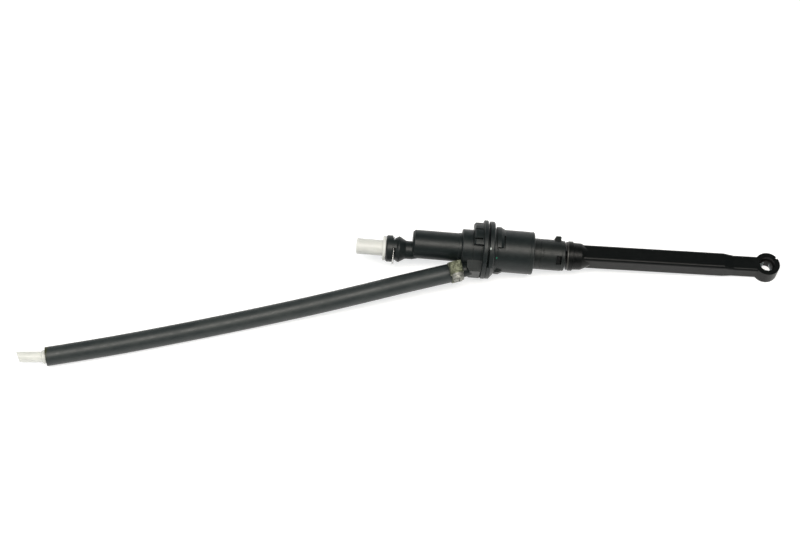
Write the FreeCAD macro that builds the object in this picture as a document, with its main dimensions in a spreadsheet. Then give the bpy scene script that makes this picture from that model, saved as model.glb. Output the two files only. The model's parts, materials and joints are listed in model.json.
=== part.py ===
"""Hydraulic master cylinder with bayonet bulkhead flange, feed hose and pedal pushrod.

Frame: millimetres. The origin is the centre of the bulkhead seat, the rear face of the flange.
+X runs towards the pedal eye, +Z is up. The cylinder lies on a bench: the flange rim, the edge
of the eye and the hose touch it, so the cylinder axis drops towards the eye by the lay angle.
Each sub-part is built about the cylinder axis (its own X axis) and then laid over by that angle.

Round-the-axis positions are roll angles, counted from +Y towards +Z.
"""
import FreeCAD, Part
import Sketcher
import math
import os

DOC = FreeCAD.newDocument("MasterCylinder")
SHEET = DOC.addObject("Spreadsheet::Sheet", "Sizes")
X_AXIS = FreeCAD.Vector(1, 0, 0)
Y_AXIS = FreeCAD.Vector(0, 1, 0)
Z_AXIS = FreeCAD.Vector(0, 0, 1)


class Size:
    """A length or angle: its value, and the spreadsheet expression that gives it."""

    def __init__(self, value, text):
        self.value = float(value)
        self.text = text

    def _join(self, other, sign, result, swap=False):
        words = other.text if isinstance(other, Size) else repr(float(other))
        first, second = (words, self.text) if swap else (self.text, words)
        return Size(result, f"({first} {sign} {second})")

    def __add__(self, other):
        return self._join(other, "+", self.value + number(other))

    def __radd__(self, other):
        return self._join(other, "+", self.value + number(other), swap=True)

    def __sub__(self, other):
        return self._join(other, "-", self.value - number(other))

    def __rsub__(self, other):
        return self._join(other, "-", number(other) - self.value, swap=True)

    def __mul__(self, other):
        return self._join(other, "*", self.value * number(other))

    def __rmul__(self, other):
        return self._join(other, "*", self.value * number(other), swap=True)

    def __truediv__(self, other):
        return self._join(other, "/", self.value / number(other))

    def __neg__(self):
        return Size(-self.value, f"(0 - {self.text})")


def number(size):
    return size.value if isinstance(size, Size) else float(size)


SHEET_ROWS = []


def size(name, value):
    """Writes one driving dimension to the next row of the sheet."""
    SHEET_ROWS.append(name)
    row = len(SHEET_ROWS)
    SHEET.set(f"A{row}", name)
    SHEET.set(f"B{row}", str(value))
    SHEET.setAlias(f"B{row}", name)
    return Size(value, f"Sizes.{name}")


# Fits between pieces.
run_fit = size("run_fit", 0.06)
soft_gap = size("soft_gap", 0.3)
seat_gap = size("seat_gap", 0.03)
seal_fit = size("seal_fit", 0.1)

# Flange and the front moulding, as distances in front of the bulkhead seat.
flange_d = size("flange_d", 46.6)
flange_t = size("flange_t", 3.3)
collar_d = size("collar_d", 29.9)
collar_len = size("collar_len", 15.5)
barrel_d = size("barrel_d", 22.7)
barrel_len = size("barrel_len", 55.4)
barrel_wall_end = size("barrel_wall_end", 4.3)
chamber_d = size("chamber_d", 17.0)
spigot_d = size("spigot_d", 29.2)
spigot_len = size("spigot_len", 3.0)
seal_seat_d = size("seal_seat_d", 23.0)
seal_seat_len = size("seal_seat_len", 16.5)
groove_depth = size("groove_depth", 0.5)
groove_w = size("groove_w", 0.6)
edge_break = size("edge_break", 0.6)

# Outlet port, on an axis beside the barrel's.
port_roll = size("port_roll", 210)
port_drop = size("port_drop", 5.3)
port_neck_d = size("port_neck_d", 14.4)
port_neck_len = size("port_neck_len", 5.0)
port_cone_len = size("port_cone_len", 5.5)
port_ramp_len = size("port_ramp_len", 3.4)
port_ring_d = size("port_ring_d", 21.2)
port_ring_len = size("port_ring_len", 5.1)
port_bore_d = size("port_bore_d", 12.0)
port_bore_len = size("port_bore_len", 13.0)
port_passage_d = size("port_passage_d", 3.2)
o_ring_wire_d = size("o_ring_wire_d", 2.0)
clip_slot_w = size("clip_slot_w", 1.7)
clip_floor_d = size("clip_floor_d", 14.6)
clip_web_t = size("clip_web_t", 1.1)
clip_web_roll = size("clip_web_roll", 97)
clip_web_span = size("clip_web_span", 38)

# Wire clip.
clip_wire_d = size("clip_wire_d", 1.2)
clip_leg_reach = size("clip_leg_reach", 12.2)
clip_crown_rise = size("clip_crown_rise", 3.0)
clip_bite = size("clip_bite", 0.45)

# Transport cap in the port.
cap_stem_d = size("cap_stem_d", 12.5)
cap_stem_len = size("cap_stem_len", 21.0)
cap_disc_d = size("cap_disc_d", 19.6)
cap_disc_t = size("cap_disc_t", 2.4)
cap_nose_len = size("cap_nose_len", 3.4)
cap_wall = size("cap_wall", 1.4)

# Boss and hose nipple under the collar.
boss_front = size("boss_front", 15.0)
boss_rear = size("boss_rear", 3.0)
boss_reach = size("boss_reach", 21.6)
boss_w = size("boss_w", 17.0)
nipple_roll = size("nipple_roll", 192)
nipple_turn = size("nipple_turn", 18)
nipple_start = size("nipple_start", 12.0)
nipple_drop = size("nipple_drop", 16.9)
nipple_root_d = size("nipple_root_d", 11.4)
nipple_root_len = size("nipple_root_len", 6.3)
nipple_len = size("nipple_len", 27.5)
feed_bore_d = size("feed_bore_d", 4.6)
barb_rise = size("barb_rise", 0.5)
barb_pitch = size("barb_pitch", 6.0)

# Ratchet block on the front of the flange.
ratchet_d = size("ratchet_d", 42.0)
ratchet_len = size("ratchet_len", 7.4)
ratchet_roll = size("ratchet_roll", 58)
ratchet_span = size("ratchet_span", 104)
ratchet_slot_depth = size("ratchet_slot_depth", 3.4)
ratchet_slot_span = size("ratchet_slot_span", 4)
ratchet_slot_pitch = size("ratchet_slot_pitch", 26)

# Hose and plug.
hose_d = size("hose_d", 15.1)
hose_bore_d = size("hose_bore_d", 8.0)
plug_d = size("plug_d", 8.4)
plug_flare_d = size("plug_flare_d", 10.5)
plug_flare_len = size("plug_flare_len", 3.6)
plug_len = size("plug_len", 22.5)
plug_nose_len = size("plug_nose_len", 11.0)
plug_bend = size("plug_bend", 10)

# Hose clamp.
clamp_at = size("clamp_at", 12.4)
clamp_w = size("clamp_w", 8.0)
clamp_band_t = size("clamp_band_t", 0.8)
clamp_roll = size("clamp_roll", 103)
clamp_box_len = size("clamp_box_len", 9.6)
clamp_box_w = size("clamp_box_w", 10.0)
clamp_box_h = size("clamp_box_h", 7.6)
worm_d = size("worm_d", 5.4)
worm_head_d = size("worm_head_d", 9.2)
worm_head_len = size("worm_head_len", 5.6)
worm_neck_len = size("worm_neck_len", 1.2)
worm_slot_w = size("worm_slot_w", 1.2)

# Rear sleeve, behind the seat.
sleeve_d = size("sleeve_d", 33.9)
sleeve_bore_d = size("sleeve_bore_d", 28.0)
sleeve_len = size("sleeve_len", 37.4)
sleeve_end_t = size("sleeve_end_t", 1.6)
sleeve_lip_t = size("sleeve_lip_t", 0.8)
pilot_d = size("pilot_d", 35.4)
pilot_len = size("pilot_len", 8.0)
bulkhead_gap = size("bulkhead_gap", 1.5)
lug_d = size("lug_d", 45.4)
lug_t = size("lug_t", 4.0)
stop_d = size("stop_d", 46.0)
stop_t = size("stop_t", 3.2)
cone_start = size("cone_start", 7.3)
cone_top_len = size("cone_top_len", 3.3)
cone_run_len = size("cone_run_len", 3.2)
cone_d = size("cone_d", 37.8)
key_w_deg = size("key_w_deg", 24)
key_roll = size("key_roll", 30)
near_plate_roll = size("near_plate_roll", 70)
near_plate_span = size("near_plate_span", 180)
far_plate_roll = size("far_plate_roll", 290)
far_plate_span = size("far_plate_span", 80)
stop_roll = size("stop_roll", 197)
stop_span = size("stop_span", 76)
top_cone_roll = size("top_cone_roll", 48)
top_cone_span = size("top_cone_span", 136)
low_cone_roll = size("low_cone_roll", 240)
low_cone_span = size("low_cone_span", 110)
latch_roll = size("latch_roll", 95)
latch_span = size("latch_span", 38)
latch_at = size("latch_at", 12.8)
latch_w = size("latch_w", 1.2)
latch_depth = size("latch_depth", 2.0)
latch_slit_front = size("latch_slit_front", 8.0)
latch_slit_span = size("latch_slit_span", 4)

# Seals and guide in the seal seat.
primary_len = size("primary_len", 3.8)
feed_ring_len = size("feed_ring_len", 5.2)
secondary_len = size("secondary_len", 3.8)
seal_step = size("seal_step", 0.1)
feed_slot_span = size("feed_slot_span", 14)

# Piston.
piston_d = size("piston_d", 15.87)
piston_nose = size("piston_nose", 22.0)
piston_rear = size("piston_rear", 46.0)
piston_bore_d = size("piston_bore_d", 11.2)
piston_bore_end = size("piston_bore_end", 5.0)
stroke = size("stroke", 27.0)
guide_d = size("guide_d", 24.4)
guide_end = size("guide_end", 62.4)
guide_flange_t = size("guide_flange_t", 2.0)
guide_wall = size("guide_wall", 1.8)
guide_bore_d = guide_d - 2 * guide_wall
guide_groove_at = size("guide_groove_at", 42.6)
stop_ring_t = size("stop_ring_t", 1.0)
key_at = size("key_at", 53.8)
key_len = size("key_len", 5.2)
key_top_d = size("key_top_d", 30.8)
window_at = size("window_at", 55.3)
window_len = size("window_len", 4.2)
window_roll = size("window_roll", 140)
window_span = size("window_span", 34)
mark_roll = size("mark_roll", 117)
mark_span = size("mark_span", 34)
nose_slot_span = size("nose_slot_span", 8)

# Return spring in the piston's bore.
spring_wire_d = size("spring_wire_d", 1.4)
spring_coils = size("spring_coils", 10)
spring_seat_t = size("spring_seat_t", 1.6)

# Ball joint and pushrod.
ball_at = size("ball_at", 50.0)
ball_d = size("ball_d", 14.0)
neck_d = size("neck_d", 8.4)
retainer_len = size("retainer_len", 14.2)
retainer_mouth_d = size("retainer_mouth_d", 11.4)
retainer_flare_d = size("retainer_flare_d", 14.6)
rod_yaw = size("rod_yaw", 1.5)
dust_ring_d = size("dust_ring_d", 22.4)
dust_ring_t = size("dust_ring_t", 1.2)
rod_ring_at = size("rod_ring_at", 65.1)
rod_ring_d = size("rod_ring_d", 23.4)
rod_ring_t = size("rod_ring_t", 4.0)
rod_boss_d = size("rod_boss_d", 21.6)
rod_boss_len = size("rod_boss_len", 6.4)
rod_taper_len = size("rod_taper_len", 9.6)
bar_w = size("bar_w", 14.2)
bar_t = size("bar_t", 15.0)
bar_rise = size("bar_rise", 0.6)
bar_corner = size("bar_corner", 2.4)
bar_end = size("bar_end", 189.6)
arm_taper_len = size("arm_taper_len", 8.0)
arm_w = size("arm_w", 13.3)
arm_len = size("arm_len", 27.1)
eye_at = bar_end + arm_taper_len + arm_len
eye_d = size("eye_d", 20.0)
eye_t = size("eye_t", 12.0)
eye_recess_d = size("eye_recess_d", 12.2)
eye_recess_depth = size("eye_recess_depth", 4.4)
eye_bore_d = size("eye_bore_d", 12.0)
liner_bore_d = size("liner_bore_d", 10.0)
eye_clip_t = size("eye_clip_t", 1.0)
eye_clip_gap_d = size("eye_clip_gap_d", 9.2)
eye_prong_w = size("eye_prong_w", 1.1)
eye_clip_roll = size("eye_clip_roll", 150)
eye_clip_span = size("eye_clip_span", 170)
eye_notch_turn = size("eye_notch_turn", 38)

DOC.recompute()

# The bench touches the rim of the flange and the lower far edge of the eye.
LAY_ANGLE = math.degrees(
    math.atan((number(flange_d) - number(eye_t)) / 2 / (number(eye_at) + number(eye_d) / 2))
)
LAY = FreeCAD.Placement(FreeCAD.Vector(), FreeCAD.Rotation(Y_AXIS, LAY_ANGLE))
BENCH_Z = -number(flange_d) / 2 * math.cos(math.radians(LAY_ANGLE))
SUB_PARTS = []


def keep(part, label, placement=LAY):
    """Names a finished sub-part, puts it in its place and lists it for writing."""
    part.Label = label
    part.Placement = placement
    SUB_PARTS.append(part)
    return part


def turn_about_x(degrees):
    return FreeCAD.Rotation(X_AXIS, degrees)


def in_lean_plane(along, out, roll, turn=0.0):
    """A placement at x = along, out from the axis at a roll angle, turned in its own plane."""
    roll_turn = turn_about_x(roll)
    place = roll_turn.multVec(FreeCAD.Vector(0, out, 0)) + FreeCAD.Vector(along, 0, 0)
    return FreeCAD.Placement(place, roll_turn.multiply(FreeCAD.Rotation(Z_AXIS, turn)))


def new_body(name):
    return DOC.addObject("PartDesign::Body", name)


def origin_plane(body, role):
    for feature in body.Origin.OriginFeatures:
        if feature.Role == role:
            return feature
    raise ValueError(f"{body.Name} has no {role}")


def new_sketch(body, name, offset=None, role="XY_Plane"):
    sketch = body.newObject("Sketcher::SketchObject", name)
    sketch.AttachmentSupport = [(origin_plane(body, role), "")]
    sketch.MapMode = "FlatFace"
    if offset is not None:
        sketch.AttachmentOffset = offset
    return sketch


def fix_point(sketch, geometry, end, corner, name):
    """Holds one end of a line at a corner whose two coordinates follow the sheet."""
    for axis, value in zip("XY", corner):
        label = f"{name}{axis.lower()}"
        index = sketch.addConstraint(
            Sketcher.Constraint(f"Distance{axis}", -1, 1, geometry, end, number(value))
        )
        sketch.renameConstraint(index, label)
        if isinstance(value, Size):
            sketch.setExpression(f".Constraints.{label}", value.text)


def draw_outline(sketch, corners, name="p"):
    """Draws a closed outline of straight lines through the corners."""
    points = [FreeCAD.Vector(number(a), number(b), 0) for a, b in corners]
    first = len(sketch.Geometry)
    count = len(points)
    for index, start in enumerate(points):
        sketch.addGeometry(Part.LineSegment(start, points[(index + 1) % count]))
    for index, corner in enumerate(corners):
        line = first + index
        before = first + (index - 1) % count
        sketch.addConstraint(Sketcher.Constraint("Coincident", before, 2, line, 1))
        fix_point(sketch, line, 1, corner, f"{name}{index}")


def revolve(body, name, corners, offset=None, span=None, cut=False):
    """Turns an outline of (along, radius) corners about the sketch's own horizontal axis."""
    sketch = new_sketch(body, f"{name}_outline", offset)
    draw_outline(sketch, corners)
    kind = "PartDesign::Groove" if cut else "PartDesign::Revolution"
    feature = body.newObject(kind, name)
    feature.Profile = sketch
    feature.ReferenceAxis = (sketch, ["H_Axis"])
    feature.Angle = 360.0
    if span is not None:
        feature.Midplane = True
        feature.Angle = number(span)
        if isinstance(span, Size):
            feature.setExpression("Angle", span.text)
    return feature


def extrude(body, name, outlines, depth, offset=None, role="XY_Plane", cut=False):
    """Pads or pockets outlines evenly to both sides of their plane."""
    sketch = new_sketch(body, f"{name}_outline", offset, role)
    for number_of_outline, corners in enumerate(outlines):
        draw_outline(sketch, corners, f"q{number_of_outline}_")
    feature = body.newObject("PartDesign::Pocket" if cut else "PartDesign::Pad", name)
    feature.Profile = sketch
    feature.Midplane = True
    feature.Length = number(depth)
    if isinstance(depth, Size):
        feature.setExpression("Length", depth.text)
    return feature


def ring(label, start, end, inner_d, outer_d, placement=LAY):
    """A plain turned ring about the cylinder axis."""
    body = new_body(label)
    corners = [(start, inner_d / 2), (start, outer_d / 2), (end, outer_d / 2), (end, inner_d / 2)]
    revolve(body, f"{label}_turned", corners)
    return keep(body, label, placement)


# Stations along the axis that several pieces share.
collar_front = -(collar_len + flange_t)
barrel_front = collar_front - (barrel_len - collar_len)
chamber_front = barrel_front + barrel_wall_end
neck_front = barrel_front - port_neck_len
cone_front = neck_front - port_cone_len
ramp_front = cone_front - port_ramp_len
slot_front = ramp_front - clip_slot_w
port_front = slot_front - port_ring_len
port_place = in_lean_plane(0, number(port_drop), number(port_roll))
port_bore_end = port_front + port_bore_len


def front_housing():
    """Port, neck, barrel, collar, flange, hose nipple and ratchet block in one moulding."""
    body = new_body("front_housing")
    barrel_r = barrel_d / 2
    collar_r = collar_d / 2
    flange_r = flange_d / 2
    groove_at = -(flange_t + ratchet_len)
    revolve(body, "barrel", [
        (barrel_front, 0), (barrel_front, barrel_r - 1.6), (barrel_front + 1.6, barrel_r),
        (collar_front - 3.6, barrel_r), (collar_front - 3.3, barrel_r + 0.3),
        (collar_front - 1.2, barrel_r + 0.3), (collar_front - 0.9, collar_r - edge_break),
        (collar_front - 0.3, collar_r), (groove_at - groove_w, collar_r),
        (groove_at - groove_w, collar_r - groove_depth), (groove_at, collar_r - groove_depth),
        (groove_at, collar_r), (-flange_t, collar_r),
        (-flange_t, flange_r - edge_break), (-flange_t + edge_break, flange_r),
        (-edge_break / 2, flange_r), (0, flange_r - edge_break / 2), (0, spigot_d / 2),
        (spigot_len, spigot_d / 2), (spigot_len, 0),
    ])
    ring_r = port_ring_d / 2
    neck_r = port_neck_d / 2
    revolve(body, "port", [
        (port_front, 0), (port_front, ring_r - 0.9), (port_front + 0.9, ring_r),
        (slot_front, ring_r), (slot_front, clip_floor_d / 2), (ramp_front, clip_floor_d / 2),
        (ramp_front, clip_floor_d / 2 + 1.2), (cone_front - 0.4, ring_r - 0.3),
        (cone_front + 0.4, ring_r - 0.4), (neck_front - 0.6, neck_r + 0.3), (neck_front, neck_r),
        (barrel_front + 0.4, neck_r), (chamber_front + 2.6, neck_r - 1.6), (chamber_front + 2.6, 0),
    ], port_place)
    extrude(body, "feed_boss", [[
        (-boss_front, 0), (-boss_front, boss_reach - 3.0), (2.4 - boss_front, boss_reach),
        (-boss_rear - 1.2, boss_reach), (-boss_rear, boss_reach - 1.2), (-boss_rear, 0),
    ]], boss_w, in_lean_plane(0, 0, number(nipple_roll)))
    nipple_r = hose_bore_d / 2 - seat_gap
    nipple_corners = [(0, 0), (0, nipple_root_d / 2), (nipple_root_len, nipple_root_d / 2),
                      (nipple_root_len, nipple_r)]
    for count in (1, 2):
        barb = nipple_root_len + barb_pitch * count
        nipple_corners += [(barb, nipple_r), (barb, nipple_r - barb_rise),
                           (barb + 1.0, nipple_r - barb_rise), (barb + 1.8, nipple_r)]
    nipple_corners += [(nipple_len - 2.5, nipple_r), (nipple_len, nipple_r - 1.0), (nipple_len, 0)]
    revolve(body, "nipple", nipple_corners, nipple_place())
    revolve(body, "ratchet_block", [
        (-flange_t - ratchet_len, collar_r - 1), (-flange_t - ratchet_len, ratchet_d / 2 - 1.2),
        (-flange_t - ratchet_len + 1.2, ratchet_d / 2), (-flange_t + 0.5, ratchet_d / 2),
        (-flange_t + 0.5, collar_r - 1),
    ], in_lean_plane(0, 0, number(ratchet_roll)), ratchet_span)
    for step in (-1.5, -0.5, 0.5, 1.5):
        roll = number(ratchet_roll) + step * number(ratchet_slot_pitch)
        revolve(body, f"ratchet_slot_{int(step * 2 + 3)}", [
            (-flange_t - ratchet_len - 1, ratchet_d / 2 - ratchet_slot_depth),
            (-flange_t - ratchet_len - 1, ratchet_d / 2 + 1),
            (-flange_t - 0.9, ratchet_d / 2 + 1),
            (-flange_t - 0.9, ratchet_d / 2 - ratchet_slot_depth),
        ], in_lean_plane(0, 0, roll), ratchet_slot_span, cut=True)
    revolve(body, "chamber", [
        (chamber_front, 0), (chamber_front, chamber_d / 2), (-seal_seat_len, chamber_d / 2),
        (-seal_seat_len, seal_seat_d / 2), (spigot_len + 1, seal_seat_d / 2), (spigot_len + 1, 0),
    ], cut=True)
    revolve(body, "port_bore", [
        (port_front - 1, 0), (port_front - 1, port_bore_d / 2 + 1.6),
        (port_front + 0.6, port_bore_d / 2), (port_bore_end, port_bore_d / 2),
        (port_bore_end + 0.8, port_passage_d / 2), (chamber_front + 1, port_passage_d / 2),
        (chamber_front + 1, 0),
    ], port_place, cut=True)
    leg_in = port_bore_d / 2 - clip_bite - 0.75
    leg_out = port_ring_d / 2 + 1
    extrude(body, "clip_slots", [
        [(slot_front, side * leg_in), (slot_front, side * leg_out),
         (ramp_front, side * leg_out), (ramp_front, side * leg_in)] for side in (1, -1)
    ], port_ring_d + 2, lateral_plane(), cut=True)
    web_out = ring_r - 0.3
    revolve(body, "clip_web", [
        (slot_front - 0.5, web_out - clip_web_t), (slot_front - 0.5, web_out),
        (ramp_front + 1.6, web_out), (ramp_front + 1.6, web_out - clip_web_t),
    ], FreeCAD.Placement(port_place.Base, turn_about_x(number(clip_web_roll))), clip_web_span)
    revolve(body, "nipple_bore", [
        (2, 0), (2, feed_bore_d / 2), (nipple_len + 1, feed_bore_d / 2), (nipple_len + 1, 0),
    ], nipple_place(), cut=True)
    feed_place = in_lean_plane(-number(nipple_start), number(nipple_drop), number(nipple_roll), -90)
    feed_depth = nipple_drop - seal_seat_d / 2 + 0.3
    revolve(body, "feed_hole", [
        (-1.5, 0), (-1.5, feed_bore_d / 2), (feed_depth, feed_bore_d / 2), (feed_depth, 0),
    ], feed_place, cut=True)
    return keep(body, "front_housing")


def nipple_place():
    """The nipple's own frame: X along it, out of the boss and forward."""
    turn = 180 - number(nipple_turn)
    return in_lean_plane(-number(nipple_start), number(nipple_drop), number(nipple_roll), turn)


def lateral_plane():
    """The port axis's plane that lies square to the lean plane."""
    place = in_lean_plane(0, number(port_drop), number(port_roll))
    return FreeCAD.Placement(place.Base, turn_about_x(number(port_roll) - 90))


def wire_clip():
    """A U of spring wire: two legs through the port's slots and a crown in its groove."""
    middle = number(slot_front) + number(clip_slot_w) / 2
    side = (number(port_bore_d) + number(clip_wire_d)) / 2 - number(clip_bite)
    reach = number(clip_leg_reach)
    rise = number(clip_crown_rise)
    place = FreeCAD.Placement(
        in_lean_plane(middle, number(port_drop), number(port_roll)).Base,
        turn_about_x(number(port_roll) - 180),
    )
    up = FreeCAD.Vector(0, 1, 0)
    out = FreeCAD.Vector(0, 0, 1)
    ends = [out * side - up * reach, out * side + up * rise, up * (rise + side),
            -out * side + up * rise, -out * side - up * reach]
    path = Part.Wire([
        Part.LineSegment(ends[0], ends[1]).toShape(),
        Part.Arc(ends[1], ends[2], ends[3]).toShape(),
        Part.LineSegment(ends[3], ends[4]).toShape(),
    ])
    section = Part.Wire(Part.Circle(ends[0], up, number(clip_wire_d) / 2).toShape())
    part = DOC.addObject("Part::Feature", "wire_clip")
    part.Shape = path.makePipeShell([section], True, True)
    return keep(part, "wire_clip", LAY.multiply(place))


def transport_cap():
    """A thin plug with a grip, pushed into the port."""
    body = new_body("transport_cap")
    disc_rear = port_front - soft_gap
    disc_front = disc_rear - cap_disc_t
    stem_front = disc_front - cap_stem_len
    nose_rear = port_front + cap_nose_len
    nose_r = port_bore_d / 2 - 0.2
    stem_r = cap_stem_d / 2
    disc_r = cap_disc_d / 2
    revolve(body, "cap_turned", [
        (stem_front, 0), (stem_front, stem_r - 0.9), (stem_front + 0.9, stem_r),
        (disc_front, stem_r), (disc_front, disc_r - 0.4), (disc_front + 0.4, disc_r),
        (disc_rear - 0.4, disc_r), (disc_rear, disc_r - 0.4), (disc_rear, nose_r),
        (nose_rear - 0.8, nose_r), (nose_rear, nose_r - 0.5), (nose_rear, nose_r - cap_wall),
        (stem_front + cap_wall, nose_r - cap_wall), (stem_front + cap_wall, 0),
    ], port_place)
    return keep(body, "transport_cap")


def port_o_ring():
    """A rubber ring against the step at the bottom of the port bore."""
    part = DOC.addObject("Part::Torus", "port_o_ring")
    part.setExpression("Radius2", f"{o_ring_wire_d.text} / 2")
    ring_r = (port_bore_d - o_ring_wire_d) / 2 - seat_gap
    part.setExpression("Radius1", ring_r.text)
    middle = port_bore_end - o_ring_wire_d / 2 - seat_gap
    at = in_lean_plane(number(middle), number(port_drop), number(port_roll))
    across = FreeCAD.Placement(at.Base, FreeCAD.Rotation(Y_AXIS, 90))
    return keep(part, "port_o_ring", LAY.multiply(across))


def seal(label, start, length):
    """A cup seal: a ring with a groove in its front face between two lips."""
    body = new_body(label)
    inner = piston_d / 2 + seal_fit
    outer = seal_seat_d / 2 - seat_gap
    middle = (inner + outer) / 2
    revolve(body, f"{label}_turned", [
        (start, inner), (start, middle - 0.7), (start + length * 0.55, middle),
        (start, middle + 0.7), (start, outer), (start + length, outer), (start + length, inner),
    ])
    return keep(body, label)


def seal_stack():
    """Primary seal, feed ring, secondary seal and guide bush, in order behind the chamber."""
    primary_at = -seal_seat_len + seal_step
    feed_at = primary_at + primary_len + seal_step
    secondary_at = feed_at + feed_ring_len + seal_step
    bush_at = secondary_at + secondary_len + seal_step
    seal("primary_seal", primary_at, primary_len)
    feed_ring(feed_at)
    seal("secondary_seal", secondary_at, secondary_len)
    inner = piston_d + 2 * run_fit
    ring("guide_bush", bush_at, spigot_len, inner, seal_seat_d - 2 * seat_gap)


def feed_ring(start):
    """A spacer with an outer channel and radial holes that lets fluid in between the seals."""
    body = new_body("feed_ring")
    inner = piston_d / 2 + seal_fit * 2
    outer = seal_seat_d / 2 - seat_gap
    end = start + feed_ring_len
    revolve(body, "feed_ring_turned", [
        (start, inner), (start, outer), (start + 1.2, outer), (start + 1.2, outer - 1.0),
        (end - 1.2, outer - 1.0), (end - 1.2, outer), (end, outer), (end, inner),
    ])
    hole_count = 6
    first = revolve(body, "feed_slot", [
        (start + 1.7, inner - 1), (start + 1.7, outer), (end - 1.7, outer), (end - 1.7, inner - 1),
    ], None, feed_slot_span, cut=True)
    repeat_about_axis(body, first, hole_count)
    return keep(body, "feed_ring")


def repeat_about_axis(body, feature, count):
    DOC.recompute()
    pattern = body.newObject("PartDesign::PolarPattern", f"{feature.Name}_pattern")
    pattern.Originals = [feature]
    pattern.Axis = (origin_plane(body, "X_Axis"), [""])
    pattern.Angle = 360
    pattern.Occurrences = count
    body.Tip = pattern
    return pattern


def rear_sleeve():
    """The sleeve behind the bulkhead, with bayonet plates, a cone and the keyway."""
    body = new_body("rear_sleeve")
    outer = sleeve_d / 2
    pilot = pilot_d / 2
    inner = sleeve_bore_d / 2
    revolve(body, "sleeve_turned", [
        (0, spigot_d / 2 + seat_gap), (0, pilot), (pilot_len, pilot), (pilot_len + 0.6, outer),
        (sleeve_len - 3.2, outer), (sleeve_len - 3.0, outer - 0.25), (sleeve_len - 2.4, outer - 0.25),
        (sleeve_len - 2.2, outer), (sleeve_len - edge_break, outer),
        (sleeve_len, outer - edge_break), (sleeve_len, guide_d / 2 + run_fit),
        (sleeve_len - sleeve_end_t, guide_d / 2 + run_fit), (sleeve_len - sleeve_end_t, inner),
        (spigot_len + sleeve_lip_t, inner), (spigot_len + sleeve_lip_t, seal_seat_d / 2 - 1.5),
        (spigot_len + seat_gap, seal_seat_d / 2 - 1.5),
        (spigot_len + seat_gap, spigot_d / 2 + seat_gap),
    ])
    plate = [
        (bulkhead_gap, pilot - 1), (bulkhead_gap, lug_d / 2 - 0.4), (bulkhead_gap + 0.4, lug_d / 2),
        (bulkhead_gap + lug_t - 0.8, lug_d / 2), (bulkhead_gap + lug_t, lug_d / 2 - 0.8),
        (bulkhead_gap + lug_t, pilot - 1),
    ]
    for name, roll, span in (
        ("near_plate", near_plate_roll, near_plate_span),
        ("far_plate", far_plate_roll, far_plate_span),
    ):
        revolve(body, name, plate, in_lean_plane(0, 0, number(roll)), span)
    revolve(body, "turn_stop", [
        (seat_gap, pilot - 1), (seat_gap, stop_d / 2 - 0.5), (seat_gap + 0.5, stop_d / 2),
        (stop_t, stop_d / 2), (bulkhead_gap + lug_t + 1, cone_d / 2),
        (bulkhead_gap + lug_t + 1, pilot - 1),
    ], in_lean_plane(0, 0, number(stop_roll)), stop_span)
    cone_end = cone_start + cone_top_len
    cone = [
        (cone_start, outer - 1), (cone_start, cone_d / 2 - 0.3), (cone_start + 0.3, cone_d / 2),
        (cone_end, cone_d / 2), (cone_end + cone_run_len, outer), (cone_end + cone_run_len, outer - 1),
    ]
    for name, roll, span in (
        ("top_cone", top_cone_roll, top_cone_span), ("low_cone", low_cone_roll, low_cone_span),
    ):
        revolve(body, name, cone, in_lean_plane(0, 0, number(roll)), span)
    latch_in = outer - latch_depth
    latch_out = cone_d / 2 + 1
    latch_end = latch_at + latch_w
    revolve(body, "latch_slot", [
        (latch_at, latch_in), (latch_at, latch_out), (latch_end, latch_out), (latch_end, latch_in),
    ], in_lean_plane(0, 0, number(latch_roll)), latch_span, cut=True)
    slit_roll = number(latch_roll) + number(latch_span) / 2
    revolve(body, "latch_slit", [
        (latch_slit_front, latch_in), (latch_slit_front, latch_out),
        (latch_end, latch_out), (latch_end, latch_in),
    ], in_lean_plane(0, 0, slit_roll), latch_slit_span, cut=True)
    revolve(body, "keyway", [
        (key_at - stroke - 1, guide_d / 2 - 1), (key_at - stroke - 1, key_top_d / 2 + soft_gap),
        (sleeve_len + 1, key_top_d / 2 + soft_gap), (sleeve_len + 1, guide_d / 2 - 1),
    ], in_lean_plane(0, 0, number(key_roll)), key_w_deg + 4, cut=True)
    return keep(body, "rear_sleeve")


def spigot_seal():
    """A rubber ring in the corner between the housing's spigot and the sleeve."""
    label = "spigot_seal"
    start = spigot_len + sleeve_lip_t + seat_gap
    return ring(label, start, start + 1.2, sleeve_bore_d - 5, sleeve_bore_d - 2 * seat_gap)


def piston():
    """The hollow plunger: nose slots that open the chamber at rest, and a cup for the ball."""
    body = new_body("piston_body")
    radius = piston_d / 2
    revolve(body, "plunger", [
        (-piston_nose, piston_bore_d / 2), (-piston_nose, radius - 0.8), (-piston_nose + 0.8, radius),
        (piston_rear, radius), (piston_rear, 0), (piston_bore_end, 0),
        (piston_bore_end, piston_bore_d / 2),
    ])
    slot = revolve(body, "nose_slot", [
        (-piston_nose + 1.4, radius - 1.1), (-piston_nose + 1.4, radius + 1),
        (-seal_seat_len + primary_len + 2.2, radius + 1),
        (-seal_seat_len + primary_len + 2.2, radius - 1.1),
    ], None, nose_slot_span, cut=True)
    repeat_about_axis(body, slot, 6)
    DOC.recompute()
    cup = DOC.addObject("Part::Sphere", "ball_cup")
    cup.setExpression("Radius", f"{ball_d.text} / 2 + {run_fit.text}")
    cup.Placement = FreeCAD.Placement(FreeCAD.Vector(number(ball_at), 0, 0), FreeCAD.Rotation())
    part = DOC.addObject("Part::Cut", "piston_with_cup")
    part.Base = body
    part.Tool = cup
    return keep(part, "piston")


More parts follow.
